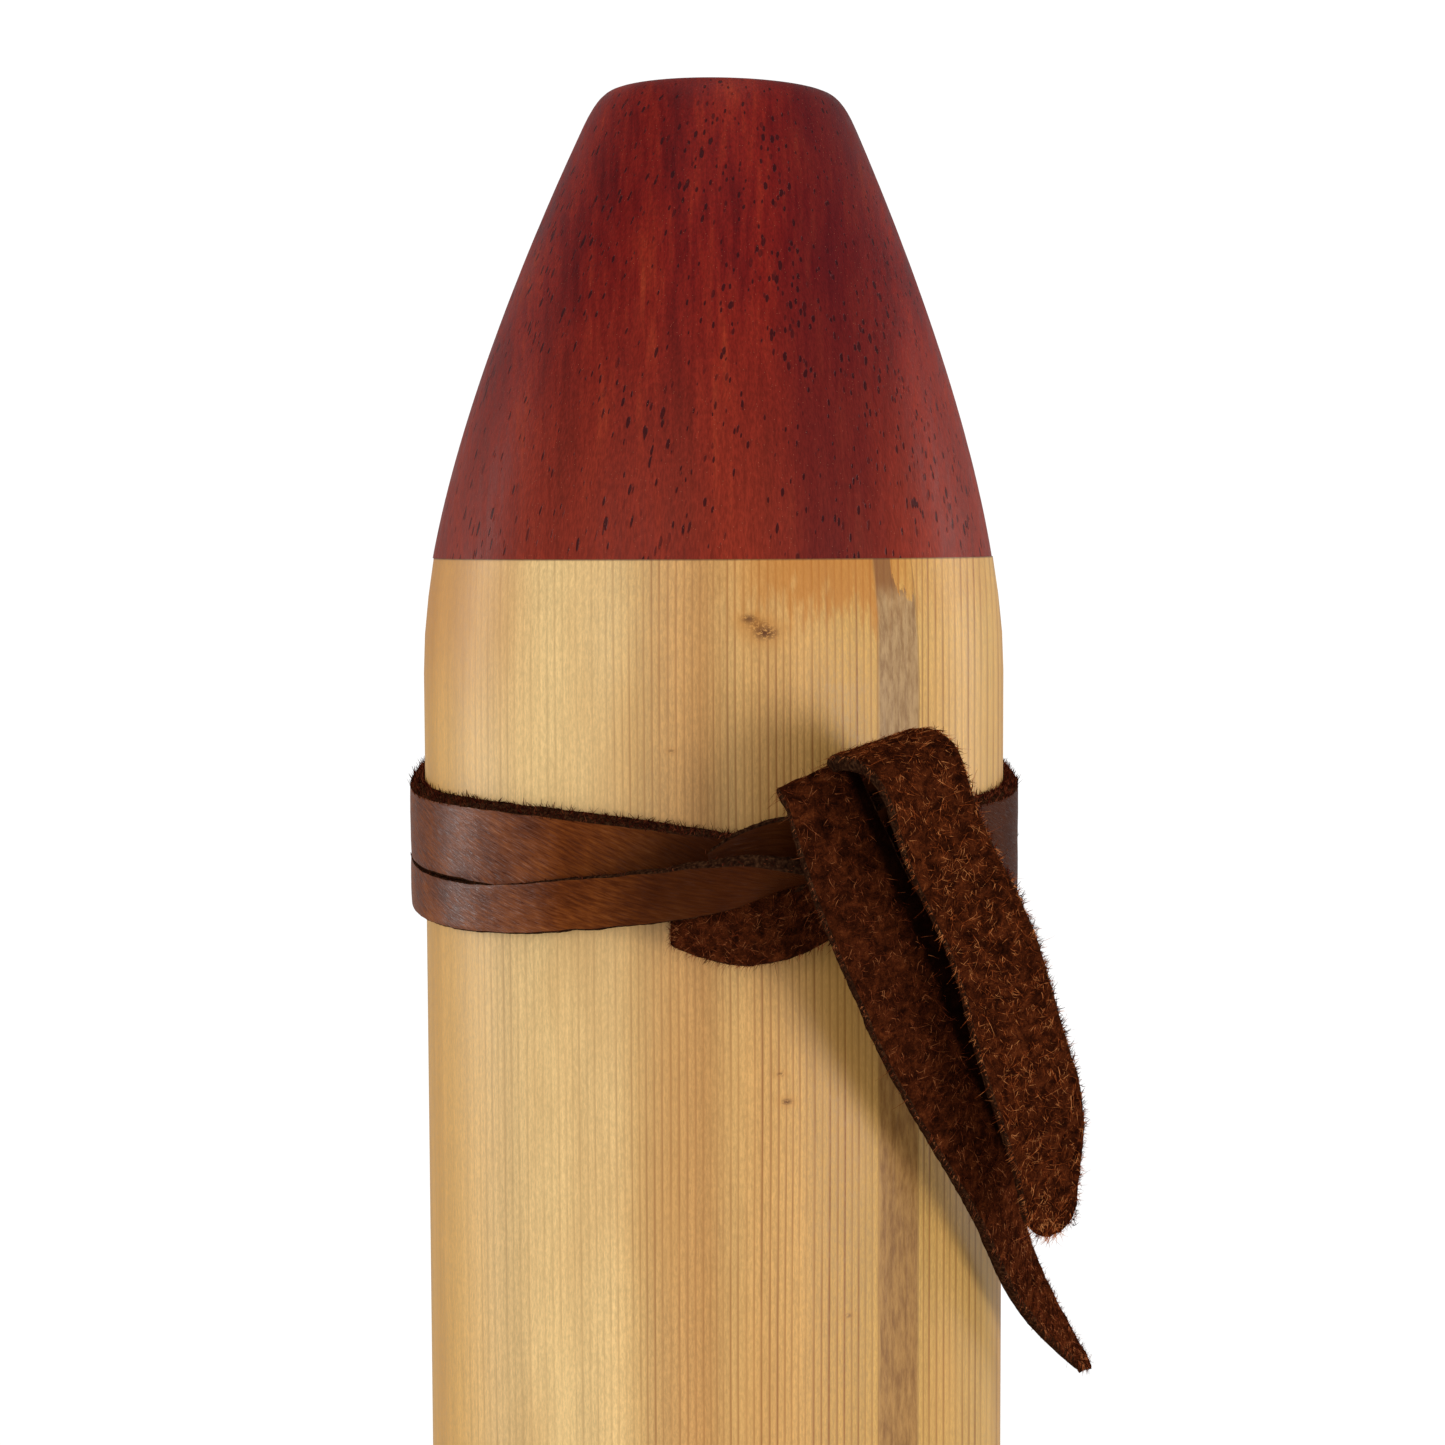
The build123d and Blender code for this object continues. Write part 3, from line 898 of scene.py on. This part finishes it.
def leather_flesh(name, hollow):
    """The flesh side under its fibres: dark and clumpy, with painted shade that makes it nearly black in the
    hollow between the tails.

    hollow is where that hollow, and its painted shade, begins and ends along the lace.
    """
    leather = Shader(name)
    place = leather.millimetres()
    clumps = leather.noise(place, 0.9, 4.0, 0.65, 0.6)
    nap = leather.noise(place, 4.5, 4.0, 0.7, 1.2)
    tone = leather.math("ADD", leather.math("MULTIPLY", clumps, 0.6), leather.math("MULTIPLY", nap, 0.4))
    colour = leather.ramp(tone, [
        (0.35, srgb(22, 8, 4)), (0.48, srgb(56, 23, 10)),
        (0.58, srgb(88, 40, 18)), (0.7, srgb(122, 64, 31)),
    ])
    along, across, _ = leather.split(lace_place(leather))
    # Painted shade: the flesh side's far edge is darkened to near black between those lengths, where the
    # front tail shades the hollow.
    painted_hollow_shade = leather.math("MULTIPLY", leather.spread(across, FLESH_MAP_SHIFT + 1.7, FLESH_MAP_SHIFT + 2.5),
                        leather.spread(along, hollow[0], hollow[0] + 2))
    painted_hollow_shade = leather.math("MULTIPLY", painted_hollow_shade, leather.spread(along, hollow[1] - 3, hollow[1], 1.0, 0.0))
    colour = leather.mix(leather.math("MULTIPLY", painted_hollow_shade, 0.9), colour, srgb(12, 4, 2))
    leather.set(base_color=colour, roughness=0.95, specular_ior_level=0.0)
    leather.set(normal=leather.bump(nap, 0.9, 0.35))
    return leather.material


def leather_fibre(name, dark, middle, light):
    """Loose fibres: each has its own shade."""
    leather = Shader(name)
    island = leather.node("ShaderNodeNewGeometry", output="Random Per Island")
    place = leather.millimetres()
    clumps = leather.noise(place, 1.3, 3.0, 0.6)
    clumps = leather.spread(clumps, 0.36, 0.64, 0.0, 0.62)
    tone = leather.math("ADD", leather.math("MULTIPLY", island, 0.38), clumps)
    colour = leather.ramp(tone, [(0.1, dark), (0.55, middle), (1.0, light)])
    leather.set(base_color=colour, roughness=0.8, specular_ior_level=0.0)
    return leather.material


def pale_ground(name):
    """A pale, faintly clouded floor."""
    ground = Shader(name)
    place = ground.millimetres()
    cloud = ground.noise(place, 0.01, 2.0)
    colour = ground.mix(cloud, srgb(236, 235, 233), srgb(241, 240, 238))
    ground.set(base_color=colour, roughness=0.7, specular_ior_level=0.2)
    return ground.material


def paint(piece, *materials):
    piece.data.materials.clear()
    for material in materials:
        piece.data.materials.append(material)


# ---------------------------------------------------------------- the lace

stations = lace_stations()
lace_length = stations[-1].along
bight_along = along_at(stations, stop_on_stick(*BIGHT[-1])[0])
back_tail_start = along_at(stations, stop_on_stick(*UPPER_TURN_END[-2])[0])
hollow_end = along_at(stations, Vector(BACK_TAIL[6][:3]))
flesh = leather_flesh("lace_flesh", (back_tail_start, hollow_end))
lace = build_lace(stations, bight_along, [leather_grain("lace_grain"), leather_edge("lace_edge"), flesh])

# Lit and shaded copies of one fibre material: the front tail's is painted lighter as painted light, the back
# tail's and the under loop's darker as painted shade.
lit_front_fibre = leather_fibre("lit_front_fibre", srgb(48, 18, 7), srgb(146, 70, 32), srgb(206, 134, 78))
shaded_back_fibre = leather_fibre("shaded_back_fibre", srgb(32, 11, 5), srgb(112, 50, 26), srgb(176, 108, 64))
dark_fibre = leather_fibre("lace_edge_fibre", srgb(28, 9, 6), srgb(72, 26, 16), srgb(124, 66, 40))

front_tail_end = along_at(stations, stop_on_stick(*RISER[1])[0])
under_loop = [along_at(stations, stop_on_stick(*row)[0]) for row in (HIDDEN_FOLD[-1], UNDER_LOOP[-1])]
fibre_pieces = [
    flesh_fibres("front_tail_fibres", stations, 0.3, front_tail_end, 13500, -1, 11, 1),
    flesh_fibres("back_tail_fibres", stations, back_tail_start, lace_length - 0.5, 13500, 1, 12, -1,
                 lace_length - 34, hollow_end),
    flesh_fibres("under_loop_fibres", stations, *under_loop, 5500, 1, 13),
]
for piece, colours in zip(fibre_pieces, (lit_front_fibre, shaded_back_fibre, shaded_back_fibre)):
    paint(piece, colours)

edge_piece = edge_fibres("lace_edge_fibres", stations, bight_along, [
    (0.0, front_tail_end, -1, 2200, 1.0),
    (0.0, front_tail_end, 1, 200, 0.3),
    (back_tail_start, lace_length - 1, 1, 1200, 0.9),
    (back_tail_start, lace_length - 1, -1, 200, 0.3),
    (bight_along + 4, back_tail_start, 1, 6200, 0.85),
    (front_tail_end, bight_along, -1, 2600, 0.4),
], 14)
paint(edge_piece, dark_fibre)
fibre_pieces.append(edge_piece)

for piece in [lace, *fibre_pieces]:
    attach(piece, "stick")
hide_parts("lace_upper_turn", "lace_lower_turn", "lace_knot", "lace_front_tail", "lace_back_tail")


# ---------------------------------------------------------------- the stick

front_wood = softwood("front_left_softwood", 0.0)
back_wood = softwood("back_right_softwood", 0.4)
cap_wood = red_hardwood("red_hardwood")
dowel = pale_dowel("pin_wood")
stone = gravel("pebble_stone")
for name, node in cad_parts.items():
    if name.startswith("baffle_pin"):
        paint(node, dowel)
    elif name.startswith("pebbles"):
        paint(node, stone)
    elif name.endswith("_cap"):
        paint(node, cap_wood)
paint(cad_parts["front_left_shell"], front_wood)
paint(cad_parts["back_right_shell"], back_wood)


# ---------------------------------------------------------------- floor and light

def disc(name, radius, sides):
    """A flat round sheet on the ground."""
    around = [2 * math.pi * index / sides for index in range(sides)]
    rim = [(radius * math.cos(angle), radius * math.sin(angle), 0) for angle in around]
    return new_mesh_object(name, rim, [tuple(range(sides))])


floor = disc("floor", 0.6, 96)
paint(floor, pale_ground("floor_paint"))

scene.view_settings.view_transform = "Standard"
world = bpy.data.worlds.new("studio")
world.use_nodes = True
scene.world = world
sky = world.node_tree
background = sky.nodes["Background"]
background.inputs["Color"].default_value = (1, 1, 1, 1)
seen = sky.nodes.new("ShaderNodeLightPath")
level = sky.nodes.new("ShaderNodeMapRange")
level.inputs["To Min"].default_value = 0.38
level.inputs["To Max"].default_value = 1.05
sky.links.new(seen.outputs["Is Camera Ray"], level.inputs["Value"])
sky.links.new(level.outputs[0], background.inputs["Strength"])


def softbox(name, place, target, size, power):
    """A soft rectangular light in metres and watts, turned to its target."""
    data = bpy.data.lights.new(name, "AREA")
    data.shape = "RECTANGLE"
    data.size, data.size_y = size
    data.energy = power
    light = bpy.data.objects.new(name, data)
    light.location = place
    light.rotation_euler = (Vector(target) - Vector(place)).to_track_quat("-Z", "Y").to_euler()
    scene.collection.objects.link(light)


aim = (0, 0, 0.33)
softbox("key", (0.60, -0.50, 0.25), aim, (0.35, 0.3), 3.1)
softbox("left_strip", (-0.74, 0.22, 0.40), aim, (0.12, 0.5), 1.5)
softbox("right_strip", (0.76, 0.30, 0.40), aim, (0.12, 0.5), 1.5)
softbox("front_left", (-0.50, -0.78, 0.50), aim, (0.6, 0.6), 2.5)
softbox("overhead", (0.0, -0.15, 1.1), aim, (0.6, 0.6), 1.5)
